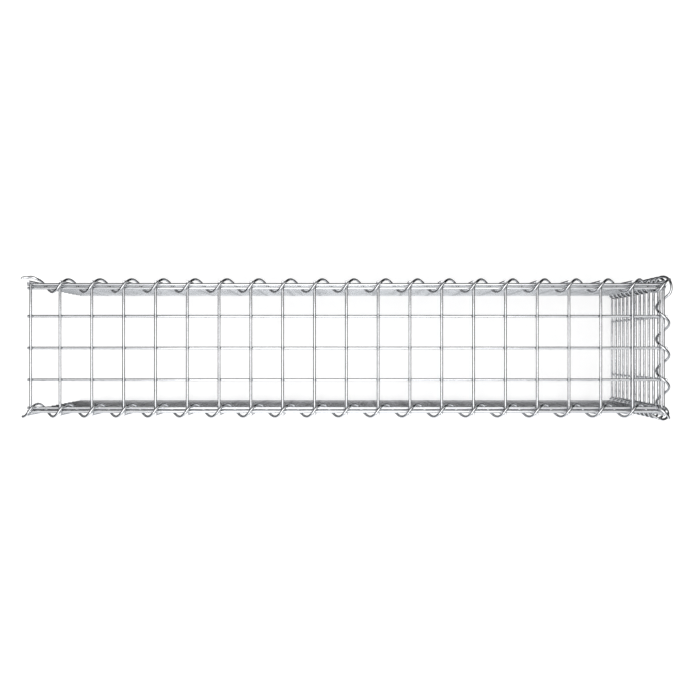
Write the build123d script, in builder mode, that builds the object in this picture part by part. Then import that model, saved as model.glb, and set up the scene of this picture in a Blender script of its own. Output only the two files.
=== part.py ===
from build123d import *
import os
from math import asin, atan, cos, pi, sin

# Welded wire wall basket, empty, that stands on its open bottom and joins a neighbour at its open left end.
# X runs along the wall, Y from front to rear, Z up. The origin is on the ground under the middle.

# Mesh
mesh_pitch = 50.0
wire_diameter = 4.5
wire_sides = 8

# Cells between the outermost wires
long_cell_count = 20
deep_cell_count = 4
high_cell_count = 12

# Lid panel: its outermost wires sit inside the walls, and every wire runs on a little past them
lid_end_inset = 4.0
lid_side_inset = 5.7
lid_overhang = 5.9

# Gap between wires that rest on one another
seat = 0.2

# Lacing spirals, each turn bent from short straight lengths
spiral_wire = 4.0
spiral_wire_sides = 5
spiral_diameter = 24.0
spiral_reach = 11.0
lengths_per_turn = 10

# Long lid spirals: how far inside the wall and over the wires they lie. Their strand crosses each
# inner crosswise wire of the lid, and at a corner it crosses a little short of the corner upright.
long_spiral_inset = 2.0
long_spiral_crest_gap = 0.85
corner_crossing_inset = 3.0

# Corner spirals
corner_spiral_bulge = 1.0
corner_spiral_lead = 5.0
corner_spiral_length = 587.0

# Turns at which a coil gives way to an end opened by hand, counted from its first crossing
rear_opening_turn = -0.69
front_opening_turn = 19.6
end_opening_turn = 3.6

# Bends of the opened ends from the corner of the basket, at the height of the coil's axis, in coil radii
rear_opening = [(-1.1, 0.83, 0.37), (-0.64, 1.1, 0.44), (0.06, 1.13, 0.32), (0.95, 1.02, -0.02)]
front_opening = [(-1.45, -0.8, -0.52), (-0.77, -1.13, -0.23)]
end_opening = [
    (0.82, -1.6, -0.5),
    (1.1, -1.19, -0.35),
    (1.24, -0.35, -0.4),
    (1.16, 0.35, -0.7),
    (0.96, 0.8, -0.98),
]

# Worked out from the sizes above
wire_radius = wire_diameter / 2
half_length = long_cell_count * mesh_pitch / 2
half_depth = deep_cell_count * mesh_pitch / 2
wall_overhang = wire_radius - seat
resting_step = wire_diameter + seat
coil_radius = (spiral_diameter - spiral_wire) / 2
coil_slope = atan(mesh_pitch / (2 * pi * coil_radius))
# Bends lie as far outside the true circle as the middles of the straight lengths lie inside it
bend_radius = 2 * coil_radius / (1 + cos(pi / lengths_per_turn))

# Heights of wire axes: the lid rests on the long walls, whose level wires pass over those of the end wall
end_bottom_height = wire_radius
end_top_height = end_bottom_height + high_cell_count * mesh_pitch
side_bottom_height = end_bottom_height + resting_step
side_top_height = end_top_height + resting_step
lid_cross_height = side_top_height + resting_step
lid_long_height = lid_cross_height - wire_diameter

lid_outer_x = half_length - lid_end_inset
lid_outer_y = half_depth - lid_side_inset


def spaced(cells, outermost):
    """Wire places at the mesh pitch, with the outermost pair at their own distance from the middle."""
    inner = [(k - cells / 2) * mesh_pitch for k in range(1, cells)]
    return [-outermost] + inner + [outermost]


def stacked(cells, lowest):
    """Heights of level wires at the mesh pitch."""
    return [lowest + k * mesh_pitch for k in range(cells + 1)]


def wire_sections(places):
    """Outlines of wires, with a flat towards the wires that they are welded to."""
    with Locations(places):
        RegularPolygon(wire_radius, wire_sides, major_radius=False, rotation=180 / wire_sides)


# Lid: crosswise wires above, lengthwise wires below
with BuildPart() as lid:
    with BuildSketch(Plane.XZ):
        wire_sections([(x, lid_cross_height) for x in spaced(long_cell_count, lid_outer_x)])
    extrude(amount=lid_outer_y + lid_overhang, both=True)
    with BuildSketch(Plane.YZ):
        wire_sections([(y, lid_long_height) for y in spaced(deep_cell_count, lid_outer_y)])
    extrude(amount=lid_outer_x + lid_overhang, both=True)
lid.part.label = "lid"


def long_wall(level_y, upright_y):
    """Panel along the basket: level wires inside, upright wires outside."""
    with BuildPart() as wall:
        with BuildSketch(Plane.YZ):
            wire_sections([(level_y, z) for z in stacked(high_cell_count, side_bottom_height)])
        extrude(amount=half_length + wall_overhang, both=True)
        with BuildSketch(Plane.XY):
            wire_sections([(x, upright_y) for x in spaced(long_cell_count, half_length)])
        extrude(amount=side_top_height + wire_radius)
    return wall


front_wall = long_wall(-half_depth, -half_depth - wire_diameter)
front_wall.part.label = "front_wall"

rear_wall = long_wall(half_depth, half_depth + wire_diameter)
rear_wall.part.label = "rear_wall"

# End wall: level wires inside, upright wires outside
with BuildPart() as end_wall:
    with BuildSketch(Plane.XZ):
        wire_sections([(half_length, z) for z in stacked(high_cell_count, end_bottom_height)])
    extrude(amount=half_depth + wall_overhang, both=True)
    with BuildSketch(Plane.XY):
        wire_sections([(half_length + wire_diameter, y) for y in spaced(deep_cell_count, half_depth)])
    extrude(amount=end_top_height + wire_radius)
end_wall.part.label = "end_wall"


def place_at(turn, crossings):
    """Distance along the axis at a turn that is counted from the first crossing."""
    marks = [crossings[0] - mesh_pitch] + crossings + [crossings[-1] + mesh_pitch]
    whole = min(int(turn + 1), len(marks) - 2)
    return marks[whole] + (turn + 1 - whole) * (marks[whole + 1] - marks[whole])


def opened(corner, steps):
    """Bends of a hand-opened end, from steps in coil radii."""
    return [Vector(corner) + Vector(step) * coil_radius for step in steps]


def spiral(middle, along, over, crossings, turns, bends_before=(), bends_after=()):
    """Left-handed coil whose strand points in direction over at each crossing, from one turn to another.

    Middle is a point of the axis, and the crossings are distances from it.
    """
    aside = Vector(over).cross(Vector(along))
    bend_count = round(lengths_per_turn * (turns[1] - turns[0]))
    bends = []
    for k in range(bend_count + 1):
        turn = turns[0] + (turns[1] - turns[0]) * k / bend_count
        outwards = Vector(over) * cos(2 * pi * turn) + aside * sin(2 * pi * turn)
        bends.append(Vector(middle) + Vector(along) * place_at(turn, crossings) + outwards * bend_radius)
    with BuildPart() as coil:
        with BuildLine() as strand:
            Polyline(*bends_before, *bends, *bends_after)
        with BuildSketch(Plane(strand.line @ 0, z_dir=strand.line % 0)):
            RegularPolygon(spiral_wire / 2, spiral_wire_sides)
        sweep(path=strand.line, transition=Transition.RIGHT)
    return coil


# Long lid spirals
long_spiral_y = half_depth - long_spiral_inset
long_spiral_height = lid_cross_height + wire_radius + long_spiral_crest_gap + spiral_wire / 2 - coil_radius
corner_crossing = half_length - corner_crossing_inset
inner_crossings = spaced(long_cell_count, half_length)[1:-1]
reach_turns = (spiral_reach + corner_crossing_inset) / mesh_pitch

lid_rear_spiral = spiral(
    middle=(0, long_spiral_y, long_spiral_height),
    along=(1, 0, 0),
    over=(0, 0, 1),
    crossings=inner_crossings + [corner_crossing],
    turns=(rear_opening_turn, long_cell_count - 1 + reach_turns),
    bends_before=opened((-half_length, half_depth, long_spiral_height), rear_opening),
)
lid_rear_spiral.part.label = "lid_rear_spiral"

lid_front_spiral = spiral(
    middle=(0, -long_spiral_y, long_spiral_height),
    along=(1, 0, 0),
    over=(0, 0, 1),
    crossings=[-corner_crossing] + inner_crossings,
    turns=(-reach_turns, front_opening_turn),
    bends_after=opened((half_length, -half_depth, long_spiral_height), front_opening),
)
lid_front_spiral.part.label = "lid_front_spiral"

# Lid to end wall spiral, centred between the lid's last crosswise wire and the end wall's top wire
end_spiral_height = (lid_cross_height + end_top_height) / 2

lid_end_spiral = spiral(
    middle=((lid_outer_x + half_length) / 2, 0, end_spiral_height),
    along=(0, 1, 0),
    over=(0, 0, 1),
    crossings=spaced(deep_cell_count, half_depth)[:-1],
    turns=(-spiral_reach / mesh_pitch, end_opening_turn),
    bends_after=opened((half_length, half_depth, end_spiral_height), end_opening),
)
lid_end_spiral.part.label = "lid_end_spiral"

# Corner spirals: each strand rests across the end wall's level wires and passes outside the corner uprights
corner_x = half_length + wire_radius
corner_y = half_depth + wire_radius + corner_spiral_bulge
level_wire_lean = asin((corner_x - half_length) / coil_radius)
rest_height = (wire_radius + seat + spiral_wire / 2) / cos(coil_slope)


def corner_spiral(side):
    """Upright coil at the front (side -1) or rear (side 1) end of the end wall."""
    return spiral(
        middle=(corner_x, side * corner_y, rest_height),
        along=(0, 0, 1),
        over=(-sin(level_wire_lean), -side * cos(level_wire_lean), 0),
        crossings=stacked(high_cell_count - 1, end_bottom_height),
        turns=(-corner_spiral_lead / mesh_pitch, (corner_spiral_length - corner_spiral_lead) / mesh_pitch),
    )


front_corner_spiral = corner_spiral(-1)
front_corner_spiral.part.label = "front_corner_spiral"

rear_corner_spiral = corner_spiral(1)
rear_corner_spiral.part.label = "rear_corner_spiral"

pieces = [
    lid,
    front_wall,
    rear_wall,
    end_wall,
    lid_front_spiral,
    lid_rear_spiral,
    lid_end_spiral,
    front_corner_spiral,
    rear_corner_spiral,
]
os.makedirs("parts", exist_ok=True)
for piece in pieces:
    export_step(piece.part, f"parts/{piece.part.label}.step")
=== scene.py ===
"""Dressed model of an empty welded wire basket for a gabion wall, in metres.

The basket stands on its open bottom. X runs along the wall, Y from front to rear and Z up.
"""

import logging
import math
from collections.abc import Callable
from dataclasses import dataclass, field
from enum import Enum

import bmesh
import bpy
from mathutils import Matrix, Vector


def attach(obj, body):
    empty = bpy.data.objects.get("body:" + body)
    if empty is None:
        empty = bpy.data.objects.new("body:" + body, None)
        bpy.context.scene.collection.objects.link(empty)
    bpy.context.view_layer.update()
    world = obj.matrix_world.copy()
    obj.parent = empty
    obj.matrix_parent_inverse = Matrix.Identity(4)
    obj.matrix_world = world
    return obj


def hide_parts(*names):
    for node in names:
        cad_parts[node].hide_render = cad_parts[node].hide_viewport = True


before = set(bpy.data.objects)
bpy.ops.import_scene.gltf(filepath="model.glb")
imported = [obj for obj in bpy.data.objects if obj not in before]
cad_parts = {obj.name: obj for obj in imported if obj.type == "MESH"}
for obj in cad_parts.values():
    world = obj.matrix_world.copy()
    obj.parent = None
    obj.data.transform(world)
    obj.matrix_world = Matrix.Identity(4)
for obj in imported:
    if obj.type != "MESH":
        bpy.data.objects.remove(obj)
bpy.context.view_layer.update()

log = logging.getLogger("basket")

MM = 0.001
MESH_PITCH = 50 * MM
WIRE_RADIUS = 2.25 * MM
COIL_RADIUS = 10 * MM
CUT_ROUNDING = 0.45 * MM
CUT_SEGMENTS = 2
MERGE_DISTANCE = 0.001 * MM
OUT_OF_REACH = 2.0  # further than any weld is from the middle
FULL_TURN = 2 * math.pi
BODY = "root"

FLOAT_SOCKET = "NodeSocketFloat"
VECTOR_SOCKET = "NodeSocketVector"
WHITE = (1.0, 1.0, 1.0, 1.0)

Colour = tuple[float, float, float]
Point = tuple[float, float, float]
Socket = bpy.types.NodeSocket


class Direction(Enum):
    """The way that a straight wire or a coil runs."""

    ALONG = 0
    ACROSS = 1
    UP = 2

    @property
    def vector(self) -> Vector:
        """Unit vector along the wire."""
        return Vector([1.0 if k == self.value else 0.0 for k in range(3)])

    @property
    def turned(self) -> Point:
        """Euler angles that lay an upright primitive along this direction."""
        quarter = FULL_TURN / 4
        return ((0.0, quarter, 0.0), (quarter, 0.0, 0.0), (0.0, 0.0, 0.0))[self.value]

    def scale(self, factor: float) -> list[float]:
        """Scale by a factor along this direction alone."""
        return [factor if k == self.value else 1.0 for k in range(3)]


class Slot(Enum):
    """Material slots of the record."""

    MESH = "mesh_wire"
    SPIRAL = "spiral_wire"


class NodeSheet:
    """Adds and links nodes on one node tree."""

    spacing = 190
    # A colour mix has its factor, its two colours and its result at these places among its sockets
    colour_mix_inputs = (0, 6, 7)
    colour_mix_output = 2

    def __init__(self, tree: bpy.types.NodeTree) -> None:
        """Starts on a tree, whose own nodes stay.

        Args:
            tree: The tree of a material, a world or a node group.
        """
        self.tree = tree
        self.column = 0

    def add(self, kind: str, **settings: object) -> bpy.types.Node:
        """Adds a node.

        Args:
            kind: The node's class name.
            **settings: Properties of the node, by name.

        Returns:
            The new node.
        """
        node = self.tree.nodes.new(kind)
        self.column += 1
        node.location = (self.column * self.spacing, 0)
        for name, value in settings.items():
            setattr(node, name, value)
        return node

    def link(self, source: Socket, target: Socket) -> None:
        """Joins an output to an input."""
        self.tree.links.new(source, target)

    def feed(self, target: Socket, value: object) -> None:
        """Gives an input its value.

        Args:
            target: The input.
            value: An output socket, a number or a colour.
        """
        if isinstance(value, Socket):
            self.link(value, target)
        elif isinstance(value, (int, float)):
            target.default_value = value
        else:
            target.default_value = (*value, 1.0)

    def math(self, operation: str, *values: object, clamp: bool = False) -> Socket:
        """Adds a Math node.

        Args:
            operation: Its operation.
            *values: Numbers or output sockets for its inputs, in order.
            clamp: Whether the result is held between 0 and 1.

        Returns:
            The node's output.
        """
        node = self.add("ShaderNodeMath", operation=operation, use_clamp=clamp)
        for target, value in zip(node.inputs, values):
            self.feed(target, value)
        return node.outputs[0]

    def blend(self, share: object, first: object, second: object) -> Socket:
        """Adds a colour mix.

        Args:
            share: How much of the second colour shows, a number or a socket.
            first: Colour or socket at 0.
            second: Colour or socket at 1.

        Returns:
            The mixed colour's output.
        """
        node = self.add("ShaderNodeMix", data_type="RGBA")
        for number, value in zip(self.colour_mix_inputs, (share, first, second)):
            self.feed(node.inputs[number], value)
        return node.outputs[self.colour_mix_output]

    def remap(self, value: Socket, low: float, high: float, to_low: float, to_high: float) -> Socket:
        """Adds a clamped Map Range node.

        Args:
            value: The socket that is mapped.
            low: Lower end of its range.
            high: Upper end of its range.
            to_low: Result at the lower end.
            to_high: Result at the upper end.

        Returns:
            The mapped output.
        """
        node = self.add("ShaderNodeMapRange")
        for target, given in zip(node.inputs, (value, low, high, to_low, to_high)):
            self.feed(target, given)
        return node.outputs[0]


def start_material(name: str) -> tuple[bpy.types.Material, NodeSheet, bpy.types.Node]:
    """Starts a material.

    Args:
        name: The material's name.

    Returns:
        The material, its sheet and its shader.
    """
    material = bpy.data.materials.new(name)
    material.use_nodes = True
    return material, NodeSheet(material.node_tree), material.node_tree.nodes["Principled BSDF"]


@dataclass
class EffectGroups:
    """The shader node groups that more than one material uses, each built once."""

    cloud_detail: float = 4.0
    cloud_roughness: float = 0.62
    cloud_range: tuple[float, float] = (0.32, 0.68)
    crystal_blur: float = 0.35
    crystal_height: float = 0.5
    line_detail: float = 2.0
    line_range: tuple[float, float] = (0.3, 0.7)
    mark_range: tuple[float, float] = (0.35, 1.25)
    mark_strength: float = 0.5
    mottle: bpy.types.NodeTree = field(init=False)
    draw_lines: bpy.types.NodeTree = field(init=False)
    weld_marks: bpy.types.NodeTree = field(init=False)

    def __post_init__(self) -> None:
        """Builds every group."""
        self.mottle = self._mottle()
        self.draw_lines = self._draw_lines()
        self.weld_marks = self._weld_marks()

    @staticmethod
    def _start(
        name: str, inputs: dict[str, str], outputs: dict[str, str]
    ) -> tuple[NodeSheet, bpy.types.Node, bpy.types.Node]:
        """Opens a group with its sockets.

        Args:
            name: Name of the group.
            inputs: Socket types of its inputs, by name.
            outputs: Socket types of its outputs, by name.

        Returns:
            The group's sheet, its input node and its output node.
        """
        tree = bpy.data.node_groups.new(name, "ShaderNodeTree")
        for way, sockets in (("INPUT", inputs), ("OUTPUT", outputs)):
            for label, kind in sockets.items():
                tree.interface.new_socket(label, in_out=way, socket_type=kind)
        sheet = NodeSheet(tree)
        return sheet, sheet.add("NodeGroupInput"), sheet.add("NodeGroupOutput")

    def _mottle(self) -> bpy.types.NodeTree:
        """Cloudy zinc with small crystals.

        Returns:
            The group, with the outputs Clouds, Crystals and Height.
        """
        sheet, start, end = self._start(
            "zinc_mottle",
            {"Vector": VECTOR_SOCKET, "Cloud Scale": FLOAT_SOCKET, "Crystal Scale": FLOAT_SOCKET},
            dict.fromkeys(("Clouds", "Crystals", "Height"), FLOAT_SOCKET),
        )
        clouds = sheet.add("ShaderNodeTexNoise")
        clouds.inputs["Detail"].default_value = self.cloud_detail
        clouds.inputs["Roughness"].default_value = self.cloud_roughness
        crystals = sheet.add("ShaderNodeTexVoronoi", feature="SMOOTH_F1")
        crystals.inputs["Smoothness"].default_value = self.crystal_blur
        for texture, scale in ((clouds, "Cloud Scale"), (crystals, "Crystal Scale")):
            sheet.link(start.outputs["Vector"], texture.inputs["Vector"])
            sheet.link(start.outputs[scale], texture.inputs["Scale"])
        brightness = sheet.add("ShaderNodeSeparateColor")
        sheet.link(crystals.outputs["Color"], brightness.inputs[0])
        sheet.link(sheet.remap(clouds.outputs[0], *self.cloud_range, 0.0, 1.0), end.inputs["Clouds"])
        sheet.link(brightness.outputs[0], end.inputs["Crystals"])
        sheet.link(sheet.math("MULTIPLY", brightness.outputs[1], self.crystal_height), end.inputs["Height"])
        return sheet.tree

    def _draw_lines(self) -> bpy.types.NodeTree:
        """Fine lines along a drawn wire, from coordinates that are already stretched along it.

        Returns:
            The group, with the output Lines.
        """
        sheet, start, end = self._start(
            "draw_lines", {"Vector": VECTOR_SOCKET, "Fineness": FLOAT_SOCKET}, {"Lines": FLOAT_SOCKET}
        )
        fine = sheet.add("ShaderNodeTexNoise")
        fine.inputs["Detail"].default_value = self.line_detail
        sheet.link(start.outputs["Vector"], fine.inputs["Vector"])
        sheet.link(start.outputs["Fineness"], fine.inputs["Scale"])
        sheet.link(sheet.remap(fine.outputs[0], *self.line_range, 0.0, 1.0), end.inputs["Lines"])
        return sheet.tree

    def _weld_marks(self) -> bpy.types.NodeTree:
        """Dull heat marks where a wire crosses the others.

        Returns:
            The group, with the output Mark.
        """
        sheet, start, end = self._start(
            "weld_marks",
            dict.fromkeys(("Place", "First", "Pitch", "Outermost", "Reach", "Ragged"), FLOAT_SOCKET),
            {"Mark": FLOAT_SOCKET},
        )
        place = start.outputs["Place"]
        half_pitch = sheet.math("MULTIPLY", start.outputs["Pitch"], 0.5)
        from_first = sheet.math("SUBTRACT", place, start.outputs["First"])
        from_grid = sheet.math("PINGPONG", from_first, half_pitch)
        outside = sheet.math("SUBTRACT", sheet.math("ABSOLUTE", place), start.outputs["Outermost"])
        nearest = sheet.math("MINIMUM", from_grid, sheet.math("ABSOLUTE", outside))
        share = sheet.math("DIVIDE", nearest, start.outputs["Reach"])
        ragged = sheet.math("ADD", share, start.outputs["Ragged"])
        sheet.link(sheet.remap(ragged, *self.mark_range, self.mark_strength, 0.0), end.inputs["Mark"])
        return sheet.tree


@dataclass(frozen=True)
class ZincFinish:
    """Bright galvanised wire: the parts of its look that every piece shares."""

    bright: Colour = (0.88, 0.885, 0.90)
    dull: Colour = (0.75, 0.76, 0.78)
    scorched: Colour = (0.40, 0.41, 0.43)
    smooth_roughness: float = 0.08
    dull_roughness: float = 0.17
    mark_roughness: float = 0.18
    cloud_scale: float = 85.0
    crystal_scale: float = 620.0
    crystal_share: float = 0.35
    line_fineness: float = 1500.0
    line_stretch: float = 0.02
    line_share: float = 0.12
    weld_reach: float = 4 * MM
    weld_raggedness: float = 0.25
    bead_marks: tuple[float, float] = (0.2, 0.6)
    rub_share: float = 0.35
    relief: float = 0.06 * MM
    relief_strength: float = 0.2


class ZincSurface:
    """One galvanised material, built from the finish and the shared effects."""

    def __init__(self, name: str, finish: ZincFinish, groups: EffectGroups) -> None:
        """Starts the material.

        Args:
            name: The material's name.
            finish: Colours and gloss.
            groups: The shared effects.
        """
        self.finish = finish
        self.groups = groups
        self.material, self.sheet, self.shader = start_material(name)
        self.material.diffuse_color = (*finish.bright, 1.0)
        self.shader.inputs["Metallic"].default_value = 1.0
        self.place = self.sheet.add("ShaderNodeTexCoord").outputs["Object"]
        self.mottle = self._group(groups.mottle, {
            "Vector": self.place, "Cloud Scale": finish.cloud_scale, "Crystal Scale": finish.crystal_scale,
        })

    def _group(self, tree: bpy.types.NodeTree, values: dict[str, object]) -> bpy.types.Node:
        """Places a shared effect.

        Args:
            tree: The effect.
            values: Numbers or output sockets for its inputs, by name.

        Returns:
            The group's node.
        """
        node = self.sheet.add("ShaderNodeGroup")
        node.node_tree = tree
        for name, value in values.items():
            self.sheet.feed(node.inputs[name], value)
        return node

    def _lines(self, direction: Direction) -> Socket:
        """Draw lines along the wire.

        Args:
            direction: The way that the wire runs.

        Returns:
            The lines' strength.
        """
        stretched = self.sheet.add("ShaderNodeMapping")
        stretched.inputs["Scale"].default_value = direction.scale(self.finish.line_stretch)
        self.sheet.link(self.place, stretched.inputs["Vector"])
        values = {"Vector": stretched.outputs[0], "Fineness": self.finish.line_fineness}
        return self._group(self.groups.draw_lines, values).outputs["Lines"]

    def drawn(self, direction: Direction, first_weld: float, outermost: float) -> "ZincSurface":
        """Finishes the material for a straight welded wire.

        Args:
            direction: The way that the wire runs.
            first_weld: Place of one weld along the wire, from which the rest follow at the mesh pitch.
            outermost: Distance of the outermost welds from the middle.

        Returns:
            This surface.
        """
        sheet, raggedness = self.sheet, self.finish.weld_raggedness
        lines = self._lines(direction)
        split = sheet.add("ShaderNodeSeparateXYZ")
        sheet.link(self.place, split.inputs[0])
        marks = self._group(self.groups.weld_marks, {
            "Place": split.outputs[direction.value],
            "First": first_weld,
            "Pitch": MESH_PITCH,
            "Outermost": outermost,
            "Reach": self.finish.weld_reach,
            "Ragged": sheet.remap(self.mottle.outputs["Clouds"], 0.0, 1.0, -raggedness, raggedness),
        })
        self._dress(lines, marks.outputs["Mark"])
        return self

    def coiled(self) -> "ZincSurface":
        """Finishes the material for a coil, whose rubbed places are stored on its mesh."""
        sheet = self.sheet
        rubbed = sheet.add("ShaderNodeAttribute", attribute_name="rubbed")
        scuffs = sheet.math("MULTIPLY", rubbed.outputs["Fac"], self.mottle.outputs["Clouds"])
        self._dress(self.mottle.outputs["Crystals"], sheet.math("MULTIPLY", scuffs, self.finish.rub_share))
        return self

    def welded(self) -> "ZincSurface":
        """Finishes the material for the metal pressed out at a weld."""
        mark = self.sheet.remap(self.mottle.outputs["Clouds"], 0.0, 1.0, *self.finish.bead_marks)
        self._dress(self.mottle.outputs["Crystals"], mark)
        return self

    def _dress(self, lines: Socket, mark: Socket) -> None:
        """Feeds the shader.

        Args:
            lines: Strength of the lines or grain on the surface.
            mark: Where the zinc is burnt or rubbed dull.
        """
        sheet, finish, inputs = self.sheet, self.finish, self.shader.inputs
        cloudy = sheet.math("MULTIPLY", self.mottle.outputs["Clouds"], 1.0 - finish.crystal_share)
        grain = sheet.math("MULTIPLY", self.mottle.outputs["Crystals"], finish.crystal_share)
        dullness = sheet.math("ADD", cloudy, grain, clamp=True)
        zinc = sheet.blend(dullness, finish.bright, finish.dull)
        lined = sheet.blend(sheet.math("MULTIPLY", lines, finish.line_share), zinc, finish.scorched)
        sheet.link(sheet.blend(mark, lined, finish.scorched), inputs["Base Color"])
        plain = sheet.remap(dullness, 0.0, 1.0, finish.smooth_roughness, finish.dull_roughness)
        rough = sheet.math("ADD", plain, sheet.math("MULTIPLY", mark, finish.mark_roughness))
        sheet.link(rough, inputs["Roughness"])
        bump = sheet.add("ShaderNodeBump")
        bump.inputs["Strength"].default_value = finish.relief_strength
        bump.inputs["Distance"].default_value = finish.relief
        sheet.link(sheet.math("ADD", lines, self.mottle.outputs["Height"]), bump.inputs["Height"])
        sheet.link(bump.outputs[0], inputs["Normal"])


class Bench:
    """The operators that several pieces share, each used on one piece at a time."""

    @staticmethod
    def clear() -> None:
        """Deselects everything."""
        bpy.ops.object.select_all(action="DESELECT")

    @classmethod
    def take(cls, *pieces: bpy.types.Object) -> None:
        """Selects these pieces alone and makes the first one active."""
        cls.clear()
        for piece in pieces:
            piece.select_set(True)
        bpy.context.view_layer.objects.active = pieces[0]

    @classmethod
    def settle(cls, piece: bpy.types.Object) -> None:
        """Puts a piece's place and turn into its mesh."""
        cls.take(piece)
        bpy.ops.object.transform_apply(location=True, rotation=True, scale=True)

    @classmethod
    def copy(cls, piece: bpy.types.Object, shift: Vector) -> bpy.types.Object:
        """Copies a piece with its own mesh.

        Args:
            piece: The piece.
            shift: How far the copy's mesh is moved.

        Returns:
            The copy.
        """
        cls.take(piece)
        bpy.ops.object.duplicate(linked=False)
        twin = bpy.context.object
        twin.location = shift
        cls.settle(twin)
        return twin

    @classmethod
    def join(cls, pieces: list[bpy.types.Object]) -> bpy.types.Object:
        """Makes several pieces one.

        Args:
            pieces: The pieces; the first one's name stays.

        Returns:
            The joined piece.
        """
        cls.take(*pieces)
        bpy.ops.object.join()
        return bpy.context.object

    @classmethod
    def spread(cls, piece: bpy.types.Object, direction: Direction, places: list[float]) -> bpy.types.Object:
        """Repeats a piece that stands at zero along a direction, evenly but for the outermost pair.

        Args:
            piece: The piece that is repeated.
            direction: The way that the copies step.
            places: Where each copy stands.

        Returns:
            All copies as one piece.
        """
        step = places[2] - places[1]
        outer = [cls.copy(piece, direction.vector * places[k]) for k in (0, -1)]
        piece.location = direction.vector * places[1]
        cls.settle(piece)
        array = piece.modifiers.new("row", "ARRAY")
        array.use_relative_offset = False
        array.use_constant_offset = True
        array.constant_offset_displace = direction.vector * step
        array.count = len(places) - 2
        cls.take(piece)
        bpy.ops.object.modifier_apply(modifier=array.name)
        return cls.join([piece, *outer])

    @classmethod
    def smooth(cls, piece: bpy.types.Object, degrees: float = 38.0) -> None:
        """Shades a piece smooth, with its sharper edges kept."""
        cls.take(piece)
        bpy.ops.object.shade_smooth_by_angle(angle=math.radians(degrees))

    @classmethod
    def edit(cls, piece: bpy.types.Object, part: str) -> None:
        """Opens a piece in edit mode.

        Args:
            piece: The piece.
            part: What is selected there: VERT, EDGE or FACE.
        """
        cls.take(piece)
        bpy.ops.object.mode_set(mode="EDIT")
        bpy.ops.mesh.select_mode(type=part)

    @staticmethod
    def choose(piece: bpy.types.Object, parts: str, wanted: Callable[[object], bool]) -> None:
        """Selects what passes a test, and nothing else.

        Args:
            piece: The piece, in edit mode.
            parts: What is tested: verts, edges or faces.
            wanted: The test.
        """
        bpy.ops.mesh.select_all(action="DESELECT")
        shape = bmesh.from_edit_mesh(piece.data)
        for part in [part for part in getattr(shape, parts) if wanted(part)]:
            part.select_set(True)
        bmesh.update_edit_mesh(piece.data)

    @classmethod
    def outward(cls, piece: bpy.types.Object) -> None:
        """Merges doubles and turns every face outwards."""
        cls.edit(piece, "VERT")
        bpy.ops.mesh.select_all(action="SELECT")
        bpy.ops.mesh.remove_doubles(threshold=MERGE_DISTANCE)
        bpy.ops.mesh.normals_make_consistent(inside=False)
        bpy.ops.object.mode_set(mode="OBJECT")

    @staticmethod
    def dress(piece: bpy.types.Object, material: bpy.types.Material) -> None:
        """Gives a piece its one material."""
        piece.data.materials.clear()
        piece.data.materials.append(material)


@dataclass
class StraightWire:
    """One drawn wire with cropped ends, modelled about the origin."""

    direction: Direction
    centre: Vector
    length: float
    radius: float = WIRE_RADIUS
    sides: int = 16
    end_facing: float = 0.99
    crop_inset: float = 0.4
    crop_depth: float = 0.25 * MM

    def build(self, material: bpy.types.Material) -> bpy.types.Object:
        """Models the wire.

        Args:
            material: Its finish.

        Returns:
            The wire, in place.
        """
        Bench.clear()
        bpy.ops.mesh.primitive_cylinder_add(
            vertices=self.sides, radius=self.radius, depth=self.length, end_fill_type="NGON",
            location=self.centre, rotation=self.direction.turned,
        )
        wire = bpy.context.object
        Bench.settle(wire)
        self._crop(wire)
        Bench.dress(wire, material)
        return wire

    def _choose_end(self, wire: bpy.types.Object, outwards: Vector) -> None:
        """Selects the flat face that closes one end.

        Args:
            wire: The wire, in edit mode.
            outwards: The way that this end faces.
        """
        Bench.choose(wire, "faces", lambda face: (
            len(face.verts) == self.sides and face.normal.dot(outwards) > self.end_facing
        ))

    def _crop(self, wire: bpy.types.Object) -> None:
        """Rounds the rims and sinks the middle of each cut end.

        Args:
            wire: The wire.
        """
        Bench.edit(wire, "FACE")
        for outwards in (-self.direction.vector, self.direction.vector):
            self._choose_end(wire, outwards)
            bpy.ops.mesh.bevel(offset=CUT_ROUNDING, segments=CUT_SEGMENTS, affect="EDGES")
            self._choose_end(wire, outwards)
            bpy.ops.mesh.inset(thickness=self.radius * self.crop_inset)
            bpy.ops.transform.translate(value=-outwards * self.crop_depth)
        bpy.ops.object.mode_set(mode="OBJECT")


@dataclass
class WeldBead:
    """The metal pressed out between two crossing wires, seen in the four corners of the crossing."""

    through: Direction
    centre: Vector
    radius: float
    thickness: float = 2.0 * MM
    sides: int = 8
    rim: float = 0.75 * MM

    def build(self, material: bpy.types.Material) -> bpy.types.Object:
        """Models one bead.

        Args:
            material: Its finish.

        Returns:
            The bead, in place.
        """
        Bench.clear()
        bpy.ops.mesh.primitive_cylinder_add(
            vertices=self.sides, radius=self.radius, depth=self.thickness, end_fill_type="NGON",
            location=self.centre, rotation=self.through.turned,
        )
        bead = bpy.context.object
        Bench.settle(bead)
        Bench.edit(bead, "FACE")
        bpy.ops.mesh.select_all(action="SELECT")
        bpy.ops.mesh.bevel(offset=self.rim, segments=1, affect="EDGES")
        bpy.ops.object.mode_set(mode="OBJECT")
        Bench.dress(bead, material)
        return bead


@dataclass
class WireLayer:
    """The straight wires on one face of a panel."""

    direction: Direction
    level: float
    length: float
    places: list[float]
    finish: bpy.types.Material
    centre: float = 0.0

    def build(self, step: Direction, through: Direction) -> bpy.types.Object:
        """Models the layer.

        Args:
            step: The way that the wires follow one another.
            through: The way through the panel.

        Returns:
            The layer as one piece.
        """
        middle = through.vector * self.level + self.direction.vector * self.centre
        wire = StraightWire(self.direction, middle, self.length).build(self.finish)
        return Bench.spread(wire, step, self.places)


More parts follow.
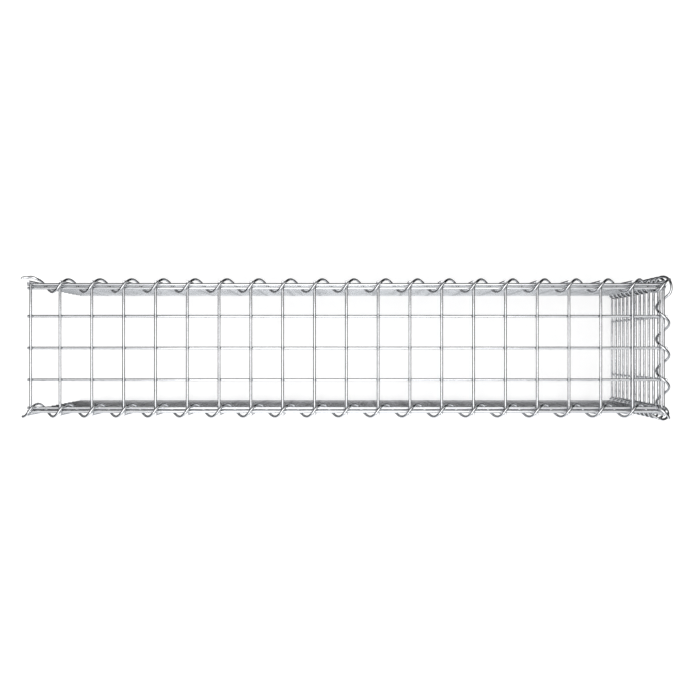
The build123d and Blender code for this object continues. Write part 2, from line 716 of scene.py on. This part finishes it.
@dataclass
class MeshPanel:
    """A welded panel: two crossing layers of straight wires with a bead at each crossing."""

    name: str
    node: str
    first: WireLayer
    second: WireLayer
    bead_finish: bpy.types.Material
    bead_radius: float = 2.7 * MM

    def build(self) -> bpy.types.Object:
        """Models the panel and puts it in the solid's place.

        Returns:
            The panel.
        """
        first, second = self.first, self.second
        through = next(way for way in Direction if way not in (first.direction, second.direction))
        layers = [first.build(second.direction, through), second.build(first.direction, through)]
        between = through.vector * ((first.level + second.level) / 2)
        beads = WeldBead(through, between, self.bead_radius).build(self.bead_finish)
        beads = Bench.spread(beads, second.direction, first.places)
        beads = Bench.spread(beads, first.direction, second.places)
        panel = Bench.join([*layers, beads])
        Bench.smooth(panel)
        return finished(panel, self.name, self.node)


@dataclass
class LacingSpiral:
    """A left-handed coil of round wire, one turn to a mesh cell, with the ends that were opened by hand."""

    name: str
    node: str
    direction: Direction
    middle: Vector
    over: Vector
    first_crossing: float
    turns: tuple[float, float]
    finish: bpy.types.Material
    squeezed_side: int = 0
    opened_start: list[Vector] = field(default_factory=list)
    opened_end: list[Vector] = field(default_factory=list)
    squeeze: float = 0.94
    squeezed_from: float = 450 * MM
    wire_radius: float = 2.0 * MM
    coil_radius: float = COIL_RADIUS
    sides: int = 12
    steps_per_turn: int = 36
    bend_step: float = 2.5 * MM
    fewest_bend_steps: int = 2
    rim_reach: float = 5.0 * MM
    opened_limit: float = 1.1
    opened_rub: float = 0.4

    def _outwards(self, turn: float) -> Vector:
        """Direction from the axis to the wire at a turn counted from the first crossing."""
        return Matrix.Rotation(-FULL_TURN * turn, 3, self.direction.vector) @ self.over

    def _onwards(self, turn: float) -> Vector:
        """Direction of the wire at a turn."""
        slope = math.atan(MESH_PITCH / (FULL_TURN * self.coil_radius))
        axis = self.direction.vector
        return axis * math.sin(slope) + self._outwards(turn).cross(axis) * math.cos(slope)

    def _centre(self, turn: float) -> Vector:
        """Middle of the wire at a turn."""
        along = self.direction.vector * (self.first_crossing + turn * MESH_PITCH)
        return self.middle + along + self._outwards(turn) * self.coil_radius

    def build(self) -> bpy.types.Object:
        """Models the coil and puts it in the solid's place.

        Returns:
            The coil.
        """
        first, last = self.turns
        Bench.clear()
        bpy.ops.mesh.primitive_circle_add(vertices=self.sides, radius=self.wire_radius, fill_type="NOTHING")
        coil = bpy.context.object
        coil.rotation_euler = self._onwards(first).to_track_quat("Z", "Y").to_euler()
        coil.location = self._outwards(first) * self.coil_radius
        Bench.settle(coil)
        screw = coil.modifiers.new("coil", "SCREW")
        screw.axis = "XYZ"[self.direction.value]
        screw.angle = -FULL_TURN * (last - first)
        screw.screw_offset = MESH_PITCH * (last - first)
        screw.steps = screw.render_steps = round(self.steps_per_turn * (last - first))
        screw.iterations = 1
        bpy.ops.object.modifier_apply(modifier=screw.name)
        coil.location = self._centre(first) - self._outwards(first) * self.coil_radius
        Bench.settle(coil)
        self._squeeze_last_turn(coil)
        self._run_on(coil, self._centre(first), -self._onwards(first), self.opened_start)
        self._run_on(coil, self._centre(last), self._onwards(last), self.opened_end)
        Bench.outward(coil)
        Bench.smooth(coil)
        Bench.dress(coil, self.finish)
        self._rub(coil)
        return finished(coil, self.name, self.node)

    def _squeeze_last_turn(self, coil: bpy.types.Object) -> None:
        """Presses the turn at a corner together, where the lid's last wire stands inside the corner.

        Args:
            coil: The coil.
        """
        if self.squeezed_side == 0:
            return
        side, axis = self.squeezed_side, self.direction.vector
        limit = self.squeezed_from * side
        Bench.edit(coil, "VERT")
        Bench.choose(coil, "verts", lambda vertex: (vertex.co.dot(axis) - limit) * side > 0)
        bpy.ops.transform.resize(value=self.direction.scale(self.squeeze), center_override=axis * limit)
        bpy.ops.object.mode_set(mode="OBJECT")

    def _rub(self, coil: bpy.types.Object) -> None:
        """Stores on the mesh where the wire was rubbed while it was screwed in, on the coil's outside.

        Wire further out than the coil reaches is an opened end, which is rubbed evenly.

        Args:
            coil: The coil.
        """
        axis = self.direction.vector
        rubbed = coil.data.attributes.new("rubbed", "FLOAT", "POINT")
        for vertex, value in zip(coil.data.vertices, rubbed.data):
            away = vertex.co - self.middle
            away -= axis * away.dot(axis)
            share = (away.length - self.coil_radius) / self.wire_radius
            value.value = self.opened_rub if share > self.opened_limit else max(0.0, share)

    def _choose_rim(self, coil: bpy.types.Object, centre: Vector) -> None:
        """Selects the open rim around a point.

        Args:
            coil: The coil, in edit mode.
            centre: The rim's middle.
        """
        shape = bmesh.from_edit_mesh(coil.data)
        open_places = [edge.verts[0].co.copy() for edge in shape.edges if edge.is_boundary]
        nearest = min(open_places, key=lambda place: (place - centre).length)
        Bench.choose(coil, "edges", lambda edge: (
            edge.is_boundary and (edge.verts[0].co - nearest).length < self.rim_reach
        ))

    def _run_on(
        self, coil: bpy.types.Object, centre: Vector, onward: Vector, points: list[Vector]
    ) -> None:
        """Bends an end on through points, each reached on an arc, and closes it.

        Args:
            coil: The coil.
            centre: Middle of the wire at this end.
            onward: The way that the wire leaves the coil.
            points: The points, in order from the coil.
        """
        Bench.edit(coil, "VERT")
        self._choose_rim(coil, centre)
        for point in points:
            chord = point - centre
            lean = onward.angle(chord)
            hinge = onward.cross(chord).normalized()
            radius = chord.length / (2 * math.sin(lean))
            pivot = centre + hinge.cross(onward) * radius
            steps = max(self.fewest_bend_steps, round(2 * lean * radius / self.bend_step))
            bpy.ops.mesh.spin(steps=steps, angle=-2 * lean, center=pivot, axis=hinge)
            onward = Matrix.Rotation(2 * lean, 3, hinge) @ onward
            centre = point
        bpy.ops.mesh.edge_face_add()
        bpy.ops.mesh.select_mode(type="FACE")
        bpy.ops.mesh.bevel(offset=CUT_ROUNDING, segments=CUT_SEGMENTS, affect="EDGES")
        bpy.ops.object.mode_set(mode="OBJECT")


def finished(piece: bpy.types.Object, name: str, node: str) -> bpy.types.Object:
    """Names a piece and lets it stand for its solid.

    Args:
        piece: The finished piece.
        name: Its name.
        node: The solid that it replaces.

    Returns:
        The piece.
    """
    piece.name = piece.data.name = name
    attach(piece, BODY)
    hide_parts(node)
    piece.data.calc_loop_triangles()
    log.info("%s: %d triangles", piece.name, len(piece.data.loop_triangles))
    return piece


def grid(cells: int, outermost: float) -> list[float]:
    """Places at the mesh pitch about the middle, with the outermost pair at their own distance."""
    inner = [(k - cells / 2) * MESH_PITCH for k in range(1, cells)]
    return [-outermost, *inner, outermost]


def stack(cells: int, lowest: float) -> list[float]:
    """Heights at the mesh pitch."""
    return [lowest + k * MESH_PITCH for k in range(cells + 1)]


@dataclass
class Basket:
    """The four panels and the five coils that lace them together."""

    groups: EffectGroups
    half_length: float = 500 * MM
    half_depth: float = 100 * MM
    cells: tuple[int, int, int] = (20, 4, 12)
    wall_overhang: float = 2.05 * MM
    lid_outer: tuple[float, float] = (496 * MM, 94.3 * MM)
    lid_overhang: float = 5.9 * MM
    lid_heights: tuple[float, float] = (611.65 * MM, 607.15 * MM)
    side_lowest: float = 6.95 * MM
    side_top: float = 609.2 * MM
    end_lowest: float = 2.25 * MM
    end_top: float = 604.5 * MM
    step: float = 2 * WIRE_RADIUS
    long_coil_place: tuple[float, float] = (98 * MM, 606.75 * MM)
    end_coil_place: tuple[float, float] = (498 * MM, 606.95 * MM)
    corner_coil_place: tuple[float, float] = (502.25 * MM, 103.25 * MM)
    corner_coil_lowest: float = 7.94 * MM
    rear_turns: tuple[float, float] = (-0.69, 19.28)
    front_turns: tuple[float, float] = (-0.28, 19.6)
    end_turns: tuple[float, float] = (-0.22, 3.6)
    corner_turns: tuple[float, float] = (-0.09, 11.635)
    rear_opening: tuple[Point, ...] = (
        (0.95, 1.02, -0.02),
        (0.06, 1.13, 0.32),
        (-0.64, 1.1, 0.44),
        (-1.05, 0.85, 0.37),
    )
    front_opening: tuple[Point, ...] = ((-1.45, -0.8, -0.52), (-0.77, -1.13, -0.23))
    end_opening: tuple[Point, ...] = (
        (0.82, -1.6, -0.5),
        (1.1, -1.19, -0.35),
        (1.24, -0.35, -0.4),
        (1.16, 0.35, -0.7),
        (0.96, 0.8, -0.98),
    )
    mesh_zinc: ZincFinish = ZincFinish()
    spiral_zinc: ZincFinish = ZincFinish(
        bright=(0.88, 0.885, 0.895), dull=(0.77, 0.78, 0.795), smooth_roughness=0.07, dull_roughness=0.15,
    )

    def _drawn(
        self, name: str, direction: Direction, first_weld: float, outermost: float = OUT_OF_REACH
    ) -> bpy.types.Material:
        """Makes the material of one layer of wires.

        Args:
            name: The material's name.
            direction: The way that the wires run.
            first_weld: Place of one weld along a wire.
            outermost: Distance from the middle of welds that are off the mesh pitch, if there are any.

        Returns:
            The material.
        """
        surface = ZincSurface(name, self.mesh_zinc, self.groups)
        return surface.drawn(direction, first_weld, outermost).material

    def _lid(self, beads: bpy.types.Material) -> MeshPanel:
        """Plans the lid.

        Args:
            beads: Finish of the weld beads.

        Returns:
            The lid, not yet built.
        """
        (x, y), (cross_height, long_height) = self.lid_outer, self.lid_heights
        along, across = Direction.ALONG, Direction.ACROSS
        crosswise = WireLayer(
            across, cross_height, 2 * (y + self.lid_overhang), grid(self.cells[0], x),
            self._drawn("zinc_lid_crosswise", across, 0.0, y),
        )
        lengthwise = WireLayer(
            along, long_height, 2 * (x + self.lid_overhang), grid(self.cells[1], y),
            self._drawn("zinc_lid_lengthwise", along, 0.0, x),
        )
        return MeshPanel("lid_mesh", "lid", crosswise, lengthwise, beads)

    def _long_walls(self, beads: bpy.types.Material) -> list[MeshPanel]:
        """Plans the front and the rear wall.

        Args:
            beads: Finish of the weld beads.

        Returns:
            The walls, not yet built.
        """
        along, up = Direction.ALONG, Direction.UP
        level_finish = self._drawn("zinc_wall_level", along, 0.0)
        upright_finish = self._drawn("zinc_wall_upright", up, self.side_lowest)
        walls = []
        for name, side in (("front_wall", -1), ("rear_wall", 1)):
            level = WireLayer(
                along, side * self.half_depth, 2 * (self.half_length + self.wall_overhang),
                stack(self.cells[2], self.side_lowest), level_finish,
            )
            upright = WireLayer(
                up, side * (self.half_depth + self.step), self.side_top,
                grid(self.cells[0], self.half_length), upright_finish, centre=self.side_top / 2,
            )
            walls.append(MeshPanel(name + "_mesh", name, level, upright, beads))
        return walls

    def _end_wall(self, beads: bpy.types.Material) -> MeshPanel:
        """Plans the end wall, whose beads stay above the ground.

        Args:
            beads: Finish of the weld beads.

        Returns:
            The wall, not yet built.
        """
        across, up = Direction.ACROSS, Direction.UP
        level = WireLayer(
            across, self.half_length, 2 * (self.half_depth + self.wall_overhang),
            stack(self.cells[2], self.end_lowest), self._drawn("zinc_end_level", across, 0.0),
        )
        upright = WireLayer(
            up, self.half_length + self.step, self.end_top, grid(self.cells[1], self.half_depth),
            self._drawn("zinc_end_upright", up, self.end_lowest), centre=self.end_top / 2,
        )
        return MeshPanel("end_wall_mesh", "end_wall", level, upright, beads, bead_radius=self.end_lowest)

    def panels(self) -> list[bpy.types.Object]:
        """Models the lid and the three walls.

        Returns:
            The panels.
        """
        beads = ZincSurface("zinc_welds", self.mesh_zinc, self.groups).welded().material
        planned = [self._lid(beads), *self._long_walls(beads), self._end_wall(beads)]
        return [panel.build() for panel in planned]

    def _opened(self, along: int, across: int, height: float, steps: tuple[Point, ...]) -> list[Vector]:
        """Points of a hand-opened end.

        Args:
            along: Side of the corner along the basket, -1 or 1.
            across: Side of the corner across it.
            height: Height of the coil's axis.
            steps: Places from that corner, in coil radii.

        Returns:
            The points.
        """
        corner = Vector((along * self.half_length, across * self.half_depth, height))
        return [corner + Vector(step) * COIL_RADIUS for step in steps]

    def spirals(self) -> list[bpy.types.Object]:
        """Models the coils.

        Returns:
            The coils.
        """
        along, across, up = Direction.ALONG, Direction.ACROSS, Direction.UP
        zinc = ZincSurface("zinc_spiral", self.spiral_zinc, self.groups).coiled().material
        long_y, long_height = self.long_coil_place
        end_x, end_height = self.end_coil_place
        coils = [
            LacingSpiral(
                "lid_rear_coil", "lid_rear_spiral", along, Vector((0, long_y, long_height)), up.vector,
                MESH_PITCH - self.half_length, self.rear_turns, zinc, squeezed_side=1,
                opened_start=self._opened(-1, 1, long_height, self.rear_opening),
            ),
            LacingSpiral(
                "lid_front_coil", "lid_front_spiral", along, Vector((0, -long_y, long_height)), up.vector,
                -self.half_length, self.front_turns, zinc, squeezed_side=-1,
                opened_end=self._opened(1, -1, long_height, self.front_opening),
            ),
            LacingSpiral(
                "lid_end_coil", "lid_end_spiral", across, Vector((end_x, 0, end_height)), up.vector,
                -self.half_depth, self.end_turns, zinc,
                opened_end=self._opened(1, 1, end_height, self.end_opening),
            ),
        ]
        corner_x, corner_y = self.corner_coil_place
        lean = math.asin(WIRE_RADIUS / COIL_RADIUS)
        for name, side in (("front_corner", -1), ("rear_corner", 1)):
            coils.append(LacingSpiral(
                name + "_coil", name + "_spiral", up, Vector((corner_x, side * corner_y, 0)),
                Vector((-math.sin(lean), -side * math.cos(lean), 0)), self.corner_coil_lowest,
                self.corner_turns, zinc,
            ))
        return [coil.build() for coil in coils]


@dataclass
class Studio:
    """Pale floor, plain soft light, cards around the basket and the camera straight above the lid.

    The cards show only in the metal, where they draw the dark edges of each wire. They lie on the floor,
    start just outside the basket and rise at their outer edge. They are dark close to the basket. Beyond
    that they are pale in front, and at the rear and the sides grey low down and nearly black above.
    """

    floor_size: float = 30.0
    floor_height: float = -0.2 * MM
    floor_colour: Colour = (0.86, 0.86, 0.86)
    floor_roughness: float = 0.9
    floor_gloss: float = 0.1
    floor_glow: float = 0.355
    card_height: float = 1.0 * MM
    card_foot: tuple[float, float] = (0.53, 0.13)
    card_reach: float = 3.0
    card_top: float = 3.6
    card_dark: Colour = (0.02, 0.021, 0.022)
    card_low: Colour = (0.18, 0.183, 0.188)
    card_near: Colour = (0.06, 0.062, 0.064)
    card_pale: Colour = (0.92, 0.945, 0.975)
    near_fade: tuple[float, float] = (0.05, 0.17)
    low_fade: tuple[float, float] = (0.10, 0.40)
    pale_fade: tuple[float, float] = (0.35, 0.77)
    world_light: float = 0.70
    camera_place: Point = (2.67 * MM, 0.0, 3.680)
    camera_lens: float = 100.97
    camera_sensor: float = 36.0
    camera_range: float = 60.0
    lamp_aim: Point = (0.0, 0.0, 0.3)
    front_place: Point = (-0.6, -3.2, 4.2)
    front_size: float = 2.6
    front_watts: float = 45.0
    top_place: Point = (0.0, -0.2, 5.0)
    top_size: float = 3.4
    top_watts: float = 46.0

    def build(self) -> None:
        """Sets up everything around the basket."""
        self._floor()
        self._cards()
        self._world()
        self._lamp("front_light", self.front_place, self.front_size, self.front_watts)
        self._lamp("top_light", self.top_place, self.top_size, self.top_watts)
        self._camera()
        bpy.context.scene.view_settings.view_transform = "Standard"

    @staticmethod
    def _seen(sheet: NodeSheet) -> Socket:
        """Light Path's camera, glossy and transmission rays as one mask.

        Args:
            sheet: The sheet of the floor or the world.

        Returns:
            The mask.
        """
        path = sheet.add("ShaderNodeLightPath")
        mirrored = sheet.math("MAXIMUM", path.outputs["Is Glossy Ray"], path.outputs["Is Transmission Ray"])
        return sheet.math("MAXIMUM", path.outputs["Is Camera Ray"], mirrored)

    def _floor(self) -> None:
        """Lays the floor under the basket."""
        Bench.clear()
        bpy.ops.mesh.primitive_plane_add(size=self.floor_size, location=(0, 0, self.floor_height))
        floor = bpy.context.object
        floor.name = "studio_floor"
        Bench.settle(floor)
        material, sheet, shader = start_material("pale_floor")
        shader.inputs["Base Color"].default_value = (*self.floor_colour, 1.0)
        shader.inputs["Roughness"].default_value = self.floor_roughness
        shader.inputs["Specular IOR Level"].default_value = self.floor_gloss
        shader.inputs["Emission Color"].default_value = WHITE
        glow = sheet.math("MULTIPLY", self._seen(sheet), self.floor_glow)
        sheet.link(glow, shader.inputs["Emission Strength"])
        Bench.dress(floor, material)

    def _cards(self) -> None:
        """Lays the cards around the basket, as one rectangle on the floor that rises at its outer edge."""
        Bench.clear()
        # Four corners, 1 m from the middle along X and Y
        bpy.ops.mesh.primitive_circle_add(
            vertices=4, radius=math.sqrt(2),
            location=(0, 0, self.card_height), rotation=(0, 0, FULL_TURN / 8),
        )
        cards = bpy.context.object
        cards.name = "studio_cards"
        Bench.settle(cards)
        Bench.edit(cards, "EDGE")
        bpy.ops.mesh.select_all(action="SELECT")
        foot_x, foot_y = self.card_foot
        bpy.ops.transform.resize(value=(foot_x, foot_y, 1.0), center_override=(0, 0, 0))
        bpy.ops.mesh.extrude_region()
        outwards = (self.card_reach / foot_x, self.card_reach / foot_y, 1.0)
        bpy.ops.transform.resize(value=outwards, center_override=(0, 0, 0))
        bpy.ops.mesh.extrude_region()
        bpy.ops.transform.translate(value=(0, 0, self.card_top))
        bpy.ops.object.mode_set(mode="OBJECT")
        Bench.dress(cards, self._card_finish())
        cards.visible_camera = False
        cards.visible_diffuse = False
        cards.visible_shadow = False

    def _card_finish(self) -> bpy.types.Material:
        """Makes the matt finish of the cards.

        Returns:
            The material.
        """
        material, sheet, shader = start_material("studio_card")
        split = sheet.add("ShaderNodeSeparateXYZ")
        sheet.link(sheet.add("ShaderNodeTexCoord").outputs["Object"], split.inputs[0])
        x, y, z = split.outputs
        past = []
        for place, foot in zip((x, y), self.card_foot):
            beyond = sheet.math("SUBTRACT", sheet.math("ABSOLUTE", place), foot)
            past.append(sheet.math("MAXIMUM", beyond, 0.0))
        squares = [sheet.math("POWER", distance, 2.0) for distance in past]
        away = sheet.math("SQRT", sheet.math("ADD", *squares))
        near = sheet.remap(away, *self.near_fade, 1.0, 0.0)
        low = sheet.remap(z, *self.low_fade, 1.0, 0.0)
        turn = sheet.math("ARCTAN2", past[0], sheet.math("MULTIPLY", y, -1.0))
        front = sheet.remap(turn, *self.pale_fade, 1.0, 0.0)
        sides = sheet.blend(front, sheet.blend(low, self.card_dark, self.card_low), self.card_pale)
        sheet.link(sheet.blend(near, sides, self.card_near), shader.inputs["Base Color"])
        shader.inputs["Roughness"].default_value = 1.0
        shader.inputs["Specular IOR Level"].default_value = 0.0
        return material

    def _world(self) -> None:
        """Makes the plain soft light, and shows it white."""
        world = bpy.data.worlds.new("studio")
        bpy.context.scene.world = world
        world.use_nodes = True
        sheet = NodeSheet(world.node_tree)
        background = world.node_tree.nodes["Background"]
        background.inputs["Color"].default_value = WHITE
        strength = sheet.remap(self._seen(sheet), 0.0, 1.0, self.world_light, 1.0)
        sheet.link(strength, background.inputs["Strength"])

    def _lamp(self, name: str, place: Point, size: float, watts: float) -> None:
        """Hangs a soft lamp that faces the basket.

        Args:
            name: The lamp's name.
            place: Where it hangs.
            size: Side of its square.
            watts: Its power.
        """
        Bench.clear()
        bpy.ops.object.light_add(type="AREA", location=place)
        lamp = bpy.context.object
        lamp.name = name
        lamp.data.size = size
        lamp.data.energy = watts
        lamp.visible_camera = False
        lamp.rotation_euler = (Vector(self.lamp_aim) - lamp.location).to_track_quat("-Z", "Y").to_euler()

    def _camera(self) -> None:
        """Places the camera."""
        Bench.clear()
        bpy.ops.object.camera_add(location=self.camera_place, rotation=(0, 0, 0))
        camera = bpy.context.object
        camera.name = "camera"
        camera.data.lens = self.camera_lens
        camera.data.sensor_width = self.camera_sensor
        camera.data.clip_end = self.camera_range
        bpy.context.scene.camera = camera


def main() -> None:
    """Builds the basket and its studio."""
    logging.basicConfig(level=logging.INFO, format="%(name)s: %(message)s")
    basket = Basket(EffectGroups())
    basket.panels()
    basket.spirals()
    Studio().build()
    Bench.clear()


if __name__ == "__main__":
    main()
